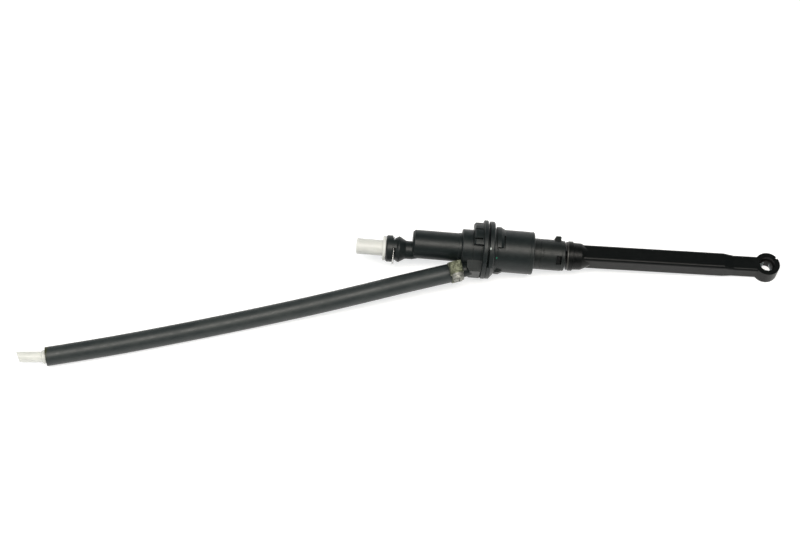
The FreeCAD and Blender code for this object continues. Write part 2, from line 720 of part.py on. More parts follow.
def piston_guide():
    """The moulded rear of the piston, which slides in the sleeve's end and carries the key."""
    body = new_body("piston_guide")
    flange_rear = sleeve_len - sleeve_end_t - stop_ring_t - soft_gap
    flange_front = flange_rear - guide_flange_t
    outer = guide_d / 2
    inner = piston_d / 2 + seat_gap
    revolve(body, "guide_turned", [
        (flange_front, inner), (flange_front, sleeve_bore_d / 2 - run_fit - 0.3),
        (flange_front + 0.3, sleeve_bore_d / 2 - run_fit), (flange_rear, sleeve_bore_d / 2 - run_fit),
        (flange_rear, outer), (guide_groove_at - groove_w / 2, outer),
        (guide_groove_at - groove_w / 2, outer - groove_depth),
        (guide_groove_at + groove_w / 2, outer - groove_depth),
        (guide_groove_at + groove_w / 2, outer), (guide_end - 2.6, outer),
        (guide_end - 2.4, outer - 0.3), (guide_end - edge_break, outer - 0.3),
        (guide_end, outer - 0.3 - edge_break), (guide_end, guide_bore_d / 2),
        (piston_rear - 0.4, guide_bore_d / 2), (piston_rear - 0.4, inner),
    ])
    revolve(body, "key", [
        (key_at, outer - 0.6), (key_at, outer + 0.8), (key_at + 1.4, key_top_d / 2),
        (key_at + key_len - 0.5, key_top_d / 2), (key_at + key_len, key_top_d / 2 - 0.5),
        (key_at + key_len, outer - 0.6),
    ], in_lean_plane(0, 0, number(key_roll)), key_w_deg)
    for name, roll in (("viewer_window", number(window_roll)), ("far_window", number(window_roll) + 180)):
        revolve(body, name, [
            (window_at, guide_bore_d / 2 - 1), (window_at, outer + 1),
            (window_at + window_len, outer + 1), (window_at + window_len, guide_bore_d / 2 - 1),
        ], in_lean_plane(0, 0, roll), window_span, cut=True)
    revolve(body, "mark_slot", [
        (guide_groove_at + 1.9, outer - 0.6), (guide_groove_at + 1.9, outer + 1),
        (guide_groove_at + 2.6, outer + 1), (guide_groove_at + 2.6, outer - 0.6),
    ], in_lean_plane(0, 0, number(mark_roll)), mark_span, cut=True)
    return keep(body, "piston_guide")


def return_stop_ring():
    """A rubber buffer against the sleeve's end wall, open where the key passes."""
    body = new_body("return_stop_ring")
    end = sleeve_len - sleeve_end_t - seat_gap
    start = end - stop_ring_t
    inner = guide_d / 2 + soft_gap
    outer = sleeve_bore_d / 2 - 0.4
    opening = key_w_deg + 8
    revolve(body, "buffer", [
        (start, inner), (start, outer), (end, outer), (end, inner),
    ], in_lean_plane(0, 0, number(key_roll) + 180), 360 - opening)
    return keep(body, "return_stop_ring")


def ball_retainer():
    """The snap ring behind the ball, with two hooks in the guide's windows."""
    body = new_body("ball_retainer")
    start = piston_rear + 0.1
    end = start + retainer_len
    outer = guide_bore_d / 2 - seat_gap
    mouth_at = ball_at + 5.0
    revolve(body, "retainer_turned", [
        (start, ball_d / 2 + 1.1), (start, outer), (end, outer), (end, retainer_flare_d / 2),
        (mouth_at, retainer_mouth_d / 2), (ball_at + 4.0, ball_d / 2 - 0.9),
        (ball_at + 2.0, ball_d / 2 + 0.4), (ball_at - 1.5, ball_d / 2 + 0.6),
    ])
    for name, roll in (("viewer_hook", number(window_roll)), ("far_hook", number(window_roll) + 180)):
        revolve(body, name, [
            (window_at + 0.3, outer - 1), (window_at + 0.3, guide_d / 2 - 0.5),
            (window_at + window_len - 1.2, guide_d / 2 - 0.5),
            (window_at + window_len - 0.3, guide_d / 2 - 1.2), (window_at + window_len - 0.3, outer - 1),
        ], in_lean_plane(0, 0, roll), window_span - 6)
    return keep(body, "ball_retainer")


def spring_seat():
    """A steel cup washer on the chamber's front wall, with a pip inside the spring."""
    body = new_body("spring_seat")
    start = chamber_front + seat_gap
    inner = port_passage_d / 2 + port_drop
    revolve(body, "seat_turned", [
        (start, 1.5), (start, piston_bore_d / 2 - 0.8), (start + spring_seat_t, piston_bore_d / 2 - 0.8),
        (start + spring_seat_t, inner - 3.6), (start + spring_seat_t + 2.4, inner - 4.2),
        (start + spring_seat_t + 2.4, 1.5),
    ])
    return keep(body, "spring_seat")


def return_spring():
    """Round wire in even coils from the seat to the bottom of the piston's bore."""
    wire_r = number(spring_wire_d) / 2
    start = number(chamber_front) + number(seat_gap) + number(spring_seat_t) + wire_r + 0.05
    end = number(piston_bore_end) - wire_r - 0.05
    coil_r = number(piston_bore_d) / 2 - wire_r - 0.25
    pitch = (end - start) / number(spring_coils)
    helix = Part.makeHelix(pitch, end - start, coil_r)
    section = Part.Wire(Part.Circle(FreeCAD.Vector(coil_r, 0, 0), Y_AXIS, wire_r).toShape())
    part = DOC.addObject("Part::Feature", "return_spring")
    part.Shape = Part.Wire(helix.Edges).makePipeShell([section], True, True)
    along = FreeCAD.Placement(FreeCAD.Vector(start, 0, 0), FreeCAD.Rotation(Y_AXIS, 90))
    return keep(part, "return_spring", LAY.multiply(along))


def rod_place():
    """The pushrod's own placement: yawed about the ball at rest."""
    turn = FreeCAD.Rotation(Z_AXIS, number(rod_yaw))
    centre = FreeCAD.Vector(number(ball_at), 0, 0)
    return LAY.multiply(FreeCAD.Placement(centre, turn))


def pushrod():
    """Ball, neck, collar, tapering boss, square bar, slimmer arm and eye in one moulding."""
    body = new_body("rod_round")
    neck_r = neck_d / 2
    ring_front = rod_ring_at - ball_at
    ring_rear = ring_front + rod_ring_t
    boss_rear_at = ring_rear + rod_boss_len
    revolve(body, "rod_turned", [
        (3.0, 0), (3.0, neck_r), (ring_front, neck_r), (ring_front, rod_ring_d / 2 - 0.5),
        (ring_front + 0.5, rod_ring_d / 2), (ring_rear - 0.4, rod_ring_d / 2),
        (ring_rear, rod_boss_d / 2), (boss_rear_at, rod_boss_d / 2 - 0.3),
        (boss_rear_at + rod_taper_len, bar_w / 2 - 1), (boss_rear_at + rod_taper_len, 0),
    ])
    rounded = body
    ball = DOC.addObject("Part::Sphere", "rod_ball")
    ball.setExpression("Radius", f"{ball_d.text} / 2")
    bar = rounded_bar("rod_bar", ring_rear, bar_end - ball_at, bar_w, bar_t, bar_corner, bar_rise)
    arm_start = bar_end - ball_at + arm_taper_len
    arm = rounded_bar("rod_arm", arm_start, eye_at - ball_at - 4, arm_w, eye_t, bar_corner - 0.4, 0)
    taper = tapered_joint("rod_step", bar, arm)
    eye = DOC.addObject("Part::Cylinder", "rod_eye")
    eye.setExpression("Radius", f"{eye_d.text} / 2")
    eye.setExpression("Height", eye_t.text)
    eye.Placement = FreeCAD.Placement(
        FreeCAD.Vector(number(eye_at) - number(ball_at), 0, -number(eye_t) / 2), FreeCAD.Rotation()
    )
    whole = DOC.addObject("Part::MultiFuse", "rod_whole")
    whole.Shapes = [rounded, ball, bar, taper, arm, eye]
    holes = []
    top = number(eye_t) / 2
    for name, bore_d, low, high in (
        ("eye_bore", eye_bore_d, -top - 1, top + 1),
        ("eye_recess", eye_recess_d, top - number(eye_recess_depth), top + 1),
    ):
        hole = DOC.addObject("Part::Cylinder", name)
        hole.setExpression("Radius", f"{bore_d.text} / 2")
        hole.Height = high - low
        hole.Placement = FreeCAD.Placement(
            FreeCAD.Vector(number(eye_at) - number(ball_at), 0, low), FreeCAD.Rotation()
        )
        holes.append(hole)
    holes.append(eye_notch())
    tools = DOC.addObject("Part::MultiFuse", "rod_holes")
    tools.Shapes = holes
    part = DOC.addObject("Part::Cut", "pushrod")
    part.Base = whole
    part.Tool = tools
    return keep(part, "pushrod", rod_place())


def eye_notch():
    """The slit in the eye's rim where the clip goes in."""
    notch = DOC.addObject("Part::Box", "eye_notch")
    notch.Length = 6.0
    notch.Width = 1.6
    notch.Height = 2.6
    turn = FreeCAD.Rotation(Z_AXIS, number(eye_notch_turn))
    centre = FreeCAD.Vector(number(eye_at) - number(ball_at), 0, number(eye_t) / 2 - 2.0)
    offset = turn.multVec(FreeCAD.Vector(number(eye_bore_d) / 2 + 0.4, -0.8, 0))
    notch.Placement = FreeCAD.Placement(centre + offset, turn)
    return notch


def rounded_bar(name, start, end, width, thick, corner, rise):
    """A bar along X with its four long edges rounded."""
    box = DOC.addObject("Part::Box", f"{name}_box")
    for prop, value in (("Length", end - start), ("Width", width), ("Height", thick)):
        box.setExpression(prop, value.text)
    box.Placement = FreeCAD.Placement(
        FreeCAD.Vector(number(start), -number(width) / 2, number(rise) - number(thick) / 2),
        FreeCAD.Rotation(),
    )
    DOC.recompute()
    part = DOC.addObject("Part::Fillet", name)
    part.Base = box
    radius = number(corner)
    part.Edges = [(i, radius, radius) for i, edge in enumerate(box.Shape.Edges, 1)
                  if abs(edge.tangentAt(edge.FirstParameter).x) > 0.99]
    return part


def end_wire(bar, side):
    """The outline of a bar's face that looks along -X (side -1) or +X (side +1)."""
    faces = [face for face in bar.Shape.Faces if abs(face.normalAt(0, 0).x) > 0.99]
    faces.sort(key=lambda face: face.CenterOfMass.x * side)
    return faces[-1].OuterWire


def tapered_joint(name, bar, arm):
    """The loft between the end of the bar and the start of the arm."""
    DOC.recompute()
    part = DOC.addObject("Part::Feature", name)
    part.Shape = Part.makeLoft([end_wire(bar, 1), end_wire(arm, -1)], True, True)
    return part


def dust_ring():
    end = rod_ring_at - ball_at - seat_gap
    start = end - dust_ring_t
    return ring("dust_ring", start, end, neck_d + 2 * seat_gap, dust_ring_d, rod_place())


def eye_place(height):
    """A placement at the eye, at a height above its middle, with +X along Z."""
    place = FreeCAD.Vector(number(eye_at) - number(ball_at), 0, height)
    return rod_place().multiply(FreeCAD.Placement(place, FreeCAD.Rotation(Y_AXIS, -90)))


def eye_socket_liner():
    """A slippery liner in the eye, split so that the pedal's ball stud snaps in."""
    body = new_body("eye_socket_liner")
    length = eye_t - eye_recess_depth - 0.2
    outer = eye_bore_d / 2 - seat_gap
    inner = liner_bore_d / 2
    revolve(body, "liner_turned", [
        (0, inner + 0.4), (0, outer), (length, outer), (length, inner), (0.4, inner),
    ])
    return keep(body, "eye_socket_liner", eye_place(-number(eye_t) / 2 + 0.1))


def prong_outline(root, tip):
    """A strip from root to tip, given as (along, across) of the rod about the eye's centre."""
    run = math.hypot(tip[0] - root[0], tip[1] - root[1])
    half = number(eye_prong_w) / 2
    side = ((root[1] - tip[1]) / run * half, (tip[0] - root[0]) / run * half)
    corners = [(root, 1), (tip, 1), (tip, -1), (root, -1)]
    return [(end[1] + sign * side[1], -end[0] - sign * side[0]) for end, sign in corners]


def eye_retaining_clip():
    """A flat steel fork in the eye's recess: a crescent with two prongs over the hole."""
    body = new_body("eye_retaining_clip")
    outer = eye_recess_d / 2 - 0.1
    inner = eye_clip_gap_d / 2
    revolve(body, "crescent", [
        (0, inner), (0, outer), (eye_clip_t, outer), (eye_clip_t, inner),
    ], in_lean_plane(0, 0, number(eye_clip_roll)), eye_clip_span)
    middle = FreeCAD.Placement(FreeCAD.Vector(0, 0, number(eye_clip_t) / 2), FreeCAD.Rotation())
    for name, root, tip in (
        ("left_prong", (-4.9, -1.4), (-2.2, 3.4)), ("right_prong", (3.1, -4.3), (2.0, 2.4)),
    ):
        extrude(body, name, [prong_outline(root, tip)], eye_clip_t, middle, "YZ_Plane")
    height = number(eye_t) / 2 - number(eye_recess_depth) + 0.05
    return keep(body, "eye_retaining_clip", eye_place(height))


# The route of the hose, chosen point by point on the bench from the nipple to its free end.
HOSE_ROUTE = [
    (-18.52, -18.53, -2.58),
    (-56.65, -30.62, -2.35),
    (-98.0, -42.4, -6.3),
    (-139.0, -52.3, -12.2),
    (-181.0, -63.0, -15.65),
    (-222.0, -74.9, -15.65),
    (-262.0, -86.0, -15.65),
    (-300.0, -96.0, -15.65),
    (-339.4, -105.26, -15.65),
]


def hose_path(points):
    """Straight runs joined by tangent arcs, each as large as its two runs allow."""
    edges = []
    here = points[0]
    length = 0.0
    for before, corner, after in zip(points, points[1:], points[2:]):
        back = (before - corner).normalize()
        ahead = (after - corner).normalize()
        half_turn = (math.pi - back.getAngle(ahead)) / 2
        tangent = 0.45 * min(before.distanceToPoint(corner), corner.distanceToPoint(after))
        radius = tangent / math.tan(half_turn)
        start = corner + back * tangent
        end = corner + ahead * tangent
        inward = (back + ahead).normalize()
        middle = corner + inward * (radius / math.cos(half_turn) - radius)
        edges.append(Part.LineSegment(here, start).toShape())
        edges.append(Part.Arc(start, middle, end).toShape())
        print(f"hose bend radius {radius:.0f} mm, {radius / number(hose_d):.0f} diameters")
        here = end
    edges.append(Part.LineSegment(here, points[-1]).toShape())
    for edge in edges:
        length += edge.Length
    return Part.Wire(edges), length


def feed_hose():
    points = [FreeCAD.Vector(*point) for point in HOSE_ROUTE]
    path, length = hose_path(points)
    direction = points[1] - points[0]
    tubes = []
    for diameter in (hose_d, hose_bore_d):
        circle = Part.Circle(points[0], direction, number(diameter) / 2)
        tubes.append(path.makePipeShell([Part.Wire(circle.toShape())], True, True))
    part = DOC.addObject("Part::Feature", "feed_hose")
    part.Shape = tubes[0].cut(tubes[1])
    section = math.pi / 4 * (number(hose_d) ** 2 - number(hose_bore_d) ** 2)
    print(f"hose length {length:.1f} mm, volume ratio {part.Shape.Volume / section / length:.4f}")
    return keep(part, "feed_hose", FreeCAD.Placement())


def hose_plug():
    """A plug in the hose's free end, with a stick that is bent and cut off aslant."""
    body = new_body("plug_inner")
    inner_r = hose_bore_d / 2 - 0.1
    revolve(body, "plug_turned", [
        (-plug_nose_len, 0), (-plug_nose_len, inner_r - 0.8), (-plug_nose_len + 0.8, inner_r),
        (soft_gap, inner_r), (soft_gap, plug_flare_d / 2 - 0.3), (soft_gap + 0.3, plug_flare_d / 2),
        (plug_flare_len - 1.0, plug_flare_d / 2), (plug_flare_len, plug_d / 2), (plug_flare_len, 0),
    ])
    stick = DOC.addObject("Part::Cylinder", "plug_stick")
    stick.setExpression("Radius", f"{plug_d.text} / 2")
    stick.setExpression("Height", plug_len.text)
    bend = FreeCAD.Rotation(Z_AXIS, -number(plug_bend))
    along = bend.multiply(FreeCAD.Rotation(Y_AXIS, 90))
    stick.Placement = FreeCAD.Placement(FreeCAD.Vector(1.0, 0, 0), along)
    cutter = DOC.addObject("Part::Box", "plug_cutter")
    cutter.Length = 12
    cutter.Width = 30
    cutter.Height = 30
    slant = FreeCAD.Rotation(Z_AXIS, -number(plug_bend) + 22)
    reach = FreeCAD.Vector(number(plug_len) - 0.6, -number(plug_len) * 0.17, 0)
    cutter.Placement = FreeCAD.Placement(reach + slant.multVec(FreeCAD.Vector(0, -15, -15)), slant)
    whole = DOC.addObject("Part::MultiFuse", "plug_whole")
    whole.Shapes = [body, stick]
    part = DOC.addObject("Part::Cut", "hose_plug")
    part.Base = whole
    part.Tool = cutter
    last, end = FreeCAD.Vector(*HOSE_ROUTE[-2]), FreeCAD.Vector(*HOSE_ROUTE[-1])
    return keep(part, "hose_plug", FreeCAD.Placement(end, FreeCAD.Rotation(X_AXIS, end - last)))


def clamp_place():
    """The clamp's own frame: X back along the nipple, Z out through the worm housing."""
    nipple = nipple_place()
    along = nipple.Rotation.multVec(X_AXIS)
    centre = nipple.Base + along * number(clamp_at)
    outward = turn_about_x(number(clamp_roll)).multVec(Y_AXIS)
    outward = (outward - along * outward.dot(along)).normalize()
    side = outward.cross(along)
    turn = FreeCAD.Rotation(along, side, outward, "XYZ")
    return LAY.multiply(FreeCAD.Placement(centre, turn))


def hose_clamp():
    """Band, worm housing and worm screw of the clamp on the hose."""
    band_in = hose_d + 2 * seat_gap
    band_out = band_in + 2 * clamp_band_t
    half = clamp_w / 2
    ring("clamp_band", -half, half, band_in, band_out, clamp_place())
    worm_at = number(band_out) / 2 + 0.4 + number(worm_d) / 2
    worm_bore = DOC.addObject("Part::Cylinder", "worm_bore")
    worm_bore.setExpression("Radius", f"{worm_d.text} / 2 + {run_fit.text}")
    worm_bore.Height = number(clamp_box_len) + 2
    worm_bore.Placement = FreeCAD.Placement(
        FreeCAD.Vector(0, number(clamp_box_len) / 2 + 1, worm_at), FreeCAD.Rotation(X_AXIS, 90)
    )
    box = DOC.addObject("Part::Box", "clamp_box")
    box.setExpression("Length", clamp_box_w.text)
    box.setExpression("Width", clamp_box_len.text)
    box.setExpression("Height", clamp_box_h.text)
    low = number(band_out) / 2 - 1.0
    box.Placement = FreeCAD.Placement(
        FreeCAD.Vector(-number(clamp_box_w) / 2, -number(clamp_box_len) / 2, low), FreeCAD.Rotation()
    )
    DOC.recompute()
    rounded = DOC.addObject("Part::Fillet", "clamp_box_rounded")
    rounded.Base = box
    top = low + number(clamp_box_h)
    rounded.Edges = [(i, 1.6, 1.6) for i, edge in enumerate(box.Shape.Edges, 1)
                     if abs(edge.CenterOfMass.z - top) < 0.01
                     and abs(edge.tangentAt(edge.FirstParameter).y) > 0.99]
    band_room = DOC.addObject("Part::Cylinder", "clamp_band_room")
    band_room.setExpression("Radius", f"{band_out.text} / 2 + {seat_gap.text}")
    band_room.setExpression("Height", f"{clamp_box_w.text} + 2")
    band_room.Placement = FreeCAD.Placement(
        FreeCAD.Vector(-number(clamp_box_w) / 2 - 1, 0, 0), FreeCAD.Rotation(Y_AXIS, 90)
    )
    tools = DOC.addObject("Part::MultiFuse", "clamp_box_tools")
    tools.Shapes = [worm_bore, band_room]
    housing = DOC.addObject("Part::Cut", "clamp_housing")
    housing.Base = rounded
    housing.Tool = tools
    keep(housing, "clamp_housing", clamp_place())
    clamp_screw(worm_at)


def clamp_screw(worm_at):
    """The worm with its hexagon head and driver slot, turning about the tangent of the band."""
    body = new_body("clamp_worm")
    half_box = clamp_box_len / 2
    head_at = half_box + worm_neck_len
    revolve(body, "worm_turned", [
        (0.6 - half_box, 0), (0.6 - half_box, worm_d / 2), (half_box + 0.2, worm_d / 2),
        (half_box + 0.2, worm_head_d / 2), (head_at, worm_head_d / 2), (head_at, 0),
    ])
    head = DOC.addObject("Part::Prism", "worm_head")
    head.Polygon = 6
    head.setExpression("Circumradius", f"{worm_head_d.text} / 2")
    head.setExpression("Height", worm_head_len.text)
    head.Placement = FreeCAD.Placement(
        FreeCAD.Vector(number(head_at) - 0.1, 0, 0), FreeCAD.Rotation(Y_AXIS, 90)
    )
    slot = DOC.addObject("Part::Box", "worm_slot")
    slot.Length = 2.0
    slot.setExpression("Width", worm_slot_w.text)
    slot.Height = number(worm_head_d) + 2
    slot.Placement = FreeCAD.Placement(
        FreeCAD.Vector(number(head_at) + number(worm_head_len) - 1.6, -number(worm_slot_w) / 2,
                       -number(worm_head_d) / 2 - 1), FreeCAD.Rotation()
    )
    whole = DOC.addObject("Part::MultiFuse", "worm_whole")
    whole.Shapes = [body, head]
    part = DOC.addObject("Part::Cut", "clamp_screw")
    part.Base = whole
    part.Tool = slot
    along_side = FreeCAD.Placement(
        FreeCAD.Vector(0, 0, worm_at), FreeCAD.Rotation(Z_AXIS, 90)
    )
    return keep(part, "clamp_screw", clamp_place().multiply(along_side))


def write_parts():
    """Checks every object of the document, then writes each sub-part."""
    DOC.recompute()
    for thing in DOC.Objects:
        if {"Invalid", "Error"} & set(thing.State):
            raise RuntimeError(f"{thing.Name} failed: {thing.State}")
    os.makedirs("parts", exist_ok=True)
    for part in SUB_PARTS:
        shape = part.Shape
        if shape.isNull() or not shape.isValid() or not shape.Solids:
            raise RuntimeError(f"{part.Label} has no valid solid")
        print(f"{part.Label}: {len(shape.Solids)} solid, {shape.Volume:.1f} mm3")
    for part in SUB_PARTS:
        part.Shape.exportStep(f"parts/{part.Label}.step")


front_housing()
wire_clip()
transport_cap()
port_o_ring()
seal_stack()
rear_sleeve()
spigot_seal()
spring_seat()
return_spring()
return_stop_ring()
piston()
piston_guide()
ball_retainer()
pushrod()
dust_ring()
eye_socket_liner()
eye_retaining_clip()
feed_hose()
hose_plug()
hose_clamp()
print(f"lay angle {LAY_ANGLE:.3f} degrees, bench at z = {BENCH_Z:.3f}")
write_parts()
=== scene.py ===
# %% [markdown]
# # Hydraulic master cylinder: finishes, hose and camera
#
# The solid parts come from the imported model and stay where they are. This script gives each of
# them its finish, lays the rubber hose, models the pieces whose looks need more than a turned
# solid, and sets the bench, the light and the camera. All lengths are in metres.

# %% Load the frame
import json
import math
import bmesh
import bpy
from mathutils import Matrix, Vector


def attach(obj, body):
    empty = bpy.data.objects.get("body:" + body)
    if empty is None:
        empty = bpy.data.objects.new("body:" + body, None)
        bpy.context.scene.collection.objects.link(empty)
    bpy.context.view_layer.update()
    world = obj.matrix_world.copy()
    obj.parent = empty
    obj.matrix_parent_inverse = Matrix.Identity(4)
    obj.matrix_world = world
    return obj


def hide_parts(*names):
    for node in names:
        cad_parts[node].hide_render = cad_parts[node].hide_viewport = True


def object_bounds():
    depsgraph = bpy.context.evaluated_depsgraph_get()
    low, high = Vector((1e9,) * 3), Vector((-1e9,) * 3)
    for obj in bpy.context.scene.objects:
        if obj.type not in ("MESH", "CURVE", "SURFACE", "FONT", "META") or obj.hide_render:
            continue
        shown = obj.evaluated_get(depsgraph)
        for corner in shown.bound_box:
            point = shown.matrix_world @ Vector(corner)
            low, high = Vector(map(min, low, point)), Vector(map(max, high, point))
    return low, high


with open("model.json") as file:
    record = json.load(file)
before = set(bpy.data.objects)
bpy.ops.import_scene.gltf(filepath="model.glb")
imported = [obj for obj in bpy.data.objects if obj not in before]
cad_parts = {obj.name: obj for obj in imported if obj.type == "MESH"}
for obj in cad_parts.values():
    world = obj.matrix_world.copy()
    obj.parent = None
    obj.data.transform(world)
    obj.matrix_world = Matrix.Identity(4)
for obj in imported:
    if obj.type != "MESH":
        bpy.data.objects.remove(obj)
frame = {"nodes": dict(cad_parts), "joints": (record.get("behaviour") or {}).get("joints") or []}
nodes = frame["nodes"]
frame_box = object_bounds()
print("CAD box", [tuple(round(c, 4) for c in corner) for corner in frame_box])

# %% [markdown]
# ## The cylinder's own directions
#
# The part lies on a bench, so its axis drops a little towards the eye. A fixed angle could be
# typed in, but the piston's slide already runs along that axis, so the direction is read from
# the joint. A small matrix then turns cylinder directions into bench directions.

# %% Cylinder directions
stroke = next(joint for joint in frame["joints"] if joint["name"] == "piston_stroke")
AXIS = -Vector(stroke["axis"]).normalized()
SIDE = Vector((0, 1, 0))
RISE = AXIS.cross(SIDE).normalized()
LAY = Matrix((AXIS, SIDE, RISE)).transposed()
BENCH = frame_box[0].z
print("axis", [round(c, 4) for c in AXIS], "bench at", round(BENCH, 4))


def rolled(along, out, roll):
    """A point on the bench from a place along the axis, a distance out and a roll from SIDE."""
    angle = math.radians(roll)
    return LAY @ Vector((along, out * math.cos(angle), out * math.sin(angle)))


# %% [markdown]
# ## The camera
#
# The part is looked at from 60 degrees above the bench, from some way off, so that a long thin
# object keeps its proportions. Pointing a camera with a Track To constraint works, but a turn
# built from the two angles also gives the slight roll, and it needs no target object.

# %% Camera
ELEVATION = math.radians(60.0)
AZIMUTH = math.radians(-4.1)
ROLL = math.radians(-1.0)
DISTANCE = 1.5
LENS = 84.9
AIM_RIGHT = -0.0684
AIM_UP = -0.0134

look = Vector((math.sin(AZIMUTH) * math.cos(ELEVATION),
               math.cos(AZIMUTH) * math.cos(ELEVATION), -math.sin(ELEVATION)))
level = Vector((math.cos(AZIMUTH), -math.sin(AZIMUTH), 0))
above = level.cross(look)
right = level * math.cos(ROLL) + above * math.sin(ROLL)
up = above * math.cos(ROLL) - level * math.sin(ROLL)

camera = bpy.data.objects.new("camera", bpy.data.cameras.new("camera"))
bpy.context.scene.collection.objects.link(camera)
bpy.context.scene.camera = camera
camera.data.lens = LENS
turn = Matrix((right, up, -look)).transposed()
place = right * AIM_RIGHT + up * AIM_UP - look * DISTANCE
camera.matrix_world = Matrix.Translation(place) @ turn.to_4x4()
print("camera at", [round(c, 3) for c in place])

# %% [markdown]
# ## Node helpers for the finishes
#
# Every finish starts as a Principled shader fed by patterns that are read in Object
# coordinates. The parts keep their place in their mesh, so one pattern scale in
# metres suits them all and the grain does not stretch.

# %% Node helpers


class Finish:
    """One material under construction, with short ways to add the usual nodes."""

    def __init__(self, name):
        self.material = bpy.data.materials.new(name)
        self.material.use_nodes = True
        self.tree = self.material.node_tree
        self.shader = self.tree.nodes["Principled BSDF"]
        self.place = self.add("ShaderNodeTexCoord").outputs["Object"]

    def add(self, kind, **values):
        node = self.tree.nodes.new(kind)
        for name, value in values.items():
            setattr(node, name, value)
        return node

    def link(self, source, target):
        self.tree.links.new(source, target)

    def noise(self, scale, detail=3.0, roughness=0.5, stretch=None):
        node = self.add("ShaderNodeTexNoise")
        node.inputs["Scale"].default_value = scale
        node.inputs["Detail"].default_value = detail
        node.inputs["Roughness"].default_value = roughness
        source = self.place
        if stretch:
            mapping = self.add("ShaderNodeMapping")
            mapping.inputs["Scale"].default_value = stretch
            self.link(source, mapping.inputs["Vector"])
            source = mapping.outputs["Vector"]
        self.link(source, node.inputs["Vector"])
        return node.outputs["Fac"]

    def remap(self, source, low, high, to_low=0.0, to_high=1.0):
        node = self.add("ShaderNodeMapRange")
        for name, value in (("From Min", low), ("From Max", high),
                            ("To Min", to_low), ("To Max", to_high)):
            node.inputs[name].default_value = value
        self.link(source, node.inputs["Value"])
        return node.outputs["Result"]

    def mix(self, amount, first, second):
        """A colour between two; each is a colour or an earlier node's colour."""
        node = self.add("ShaderNodeMix", data_type="RGBA")
        self.link(amount, node.inputs["Factor"])
        for socket, value in ((node.inputs[6], first), (node.inputs[7], second)):
            if isinstance(value, tuple):
                socket.default_value = (*value, 1.0)
            else:
                self.link(value, socket)
        return node.outputs[2]

    def near(self, spot, radius):
        """1 within a radius of a spot and 0 away from it."""
        gap = self.add("ShaderNodeVectorMath", operation="DISTANCE")
        self.link(self.place, gap.inputs[0])
        gap.inputs[1].default_value = spot
        return self.remap(gap.outputs["Value"], 1.15 * radius, 0.85 * radius)

    def past(self, start, end):
        """0 before one place along X and 1 past the other."""
        split = self.add("ShaderNodeSeparateXYZ")
        self.link(self.place, split.inputs["Vector"])
        return self.remap(split.outputs["X"], start, end)

    def edges(self, radius):
        """1 on sharp edges and 0 on flats, and the softened normal that shows them."""
        soft = self.add("ShaderNodeBevel", samples=6)
        soft.inputs["Radius"].default_value = radius
        flat = self.add("ShaderNodeNewGeometry").outputs["Normal"]
        dot = self.add("ShaderNodeVectorMath", operation="DOT_PRODUCT")
        self.link(soft.outputs["Normal"], dot.inputs[0])
        self.link(flat, dot.inputs[1])
        return self.remap(dot.outputs["Value"], 0.995, 0.82), soft.outputs["Normal"]

    def bump(self, height, distance, strength=1.0, normal=None):
        node = self.add("ShaderNodeBump")
        node.inputs["Distance"].default_value = distance
        node.inputs["Strength"].default_value = strength
        self.link(height, node.inputs["Height"])
        if normal is not None:
            self.link(normal, node.inputs["Normal"])
        return node.outputs["Normal"]

    def finish(self, colour, roughness, normal):
        self.link(colour, self.shader.inputs["Base Color"])
        self.link(roughness, self.shader.inputs["Roughness"])
        self.link(normal, self.shader.inputs["Normal"])
        return self.material


print("node helpers ready")

# %% [markdown]
# ## Glass-filled black plastic
#
# Housing, sleeve and guide are injection moulded in black nylon with glass fibre. Close up it
# is charcoal rather than black: cloudy where the fibre comes to the skin, finely grained, and a
# little paler on its edges where it has been handled. A flat colour would hide all three, so
# two noises drive the cloud and the grain, and a softened normal finds the edges.

# %% Moulded plastic
WORN_PLASTIC = (0.040, 0.044, 0.042)
FIBRE_GAIN = 2.2


def moulded_plastic(name, deep, cloudy, rough, wear=0.4, edge_radius=0.00025, shine=0.36,
                    marks=()):
    """Charcoal plastic; marks are (spot, radius, colour) dots of paint or painted glints."""
    finish = Finish(name)
    cloud = finish.remap(finish.noise(70.0, detail=5.0, roughness=0.6), 0.35, 0.7)
    fibre = finish.noise(900.0, detail=3.0, roughness=0.7, stretch=(0.35, 1.0, 1.0))
    edge, softened = finish.edges(edge_radius)
    body = finish.mix(cloud, deep, cloudy)
    speckled = finish.mix(finish.remap(fibre, 0.45, 0.75, 0.0, 0.35), body,
                          tuple(FIBRE_GAIN * part for part in cloudy))
    colour = finish.mix(finish.remap(edge, 0.0, 1.0, 0.0, wear), speckled, WORN_PLASTIC)
    # A mark is either real paint or a painted glint, a bright spot standing in for a highlight.
    for spot, radius, paint in marks:
        colour = finish.mix(finish.near(spot, radius), colour, paint)
    handled = finish.noise(260.0, detail=4.0, roughness=0.6)
    grain = finish.noise(2600.0, detail=2.0, roughness=0.6)
    finish.shader.inputs["Specular IOR Level"].default_value = shine
    return finish.finish(colour, finish.remap(handled, 0.3, 0.7, *rough),
                         finish.bump(grain, 0.00005, 0.5, softened))


print("plastics come from", moulded_plastic.__name__)

# %% [markdown]
# ## The four plastics
#
# The housing carries an inspector's dot of green paint on the sleeve, and a painted glint on the
# plate beside the flange: a bright spot of colour that stands in for a highlight. A decal would
# need a mesh of its own, so both are mixed into the colour round a spot. The rod is blacker,
# with crisp edges, and the inner pieces are duller.

# %% Plastics
PAINT_DOT = (rolled(0.0077, 0.0177, 139.8), 0.0006, (0.03, 0.22, 0.13))
# Painted glint: a bright dot on the plate by the flange, standing in for a highlight.
PAINTED_GLINT = (rolled(0.002, 0.0227, 118), 0.0009, (0.34, 0.38, 0.36))

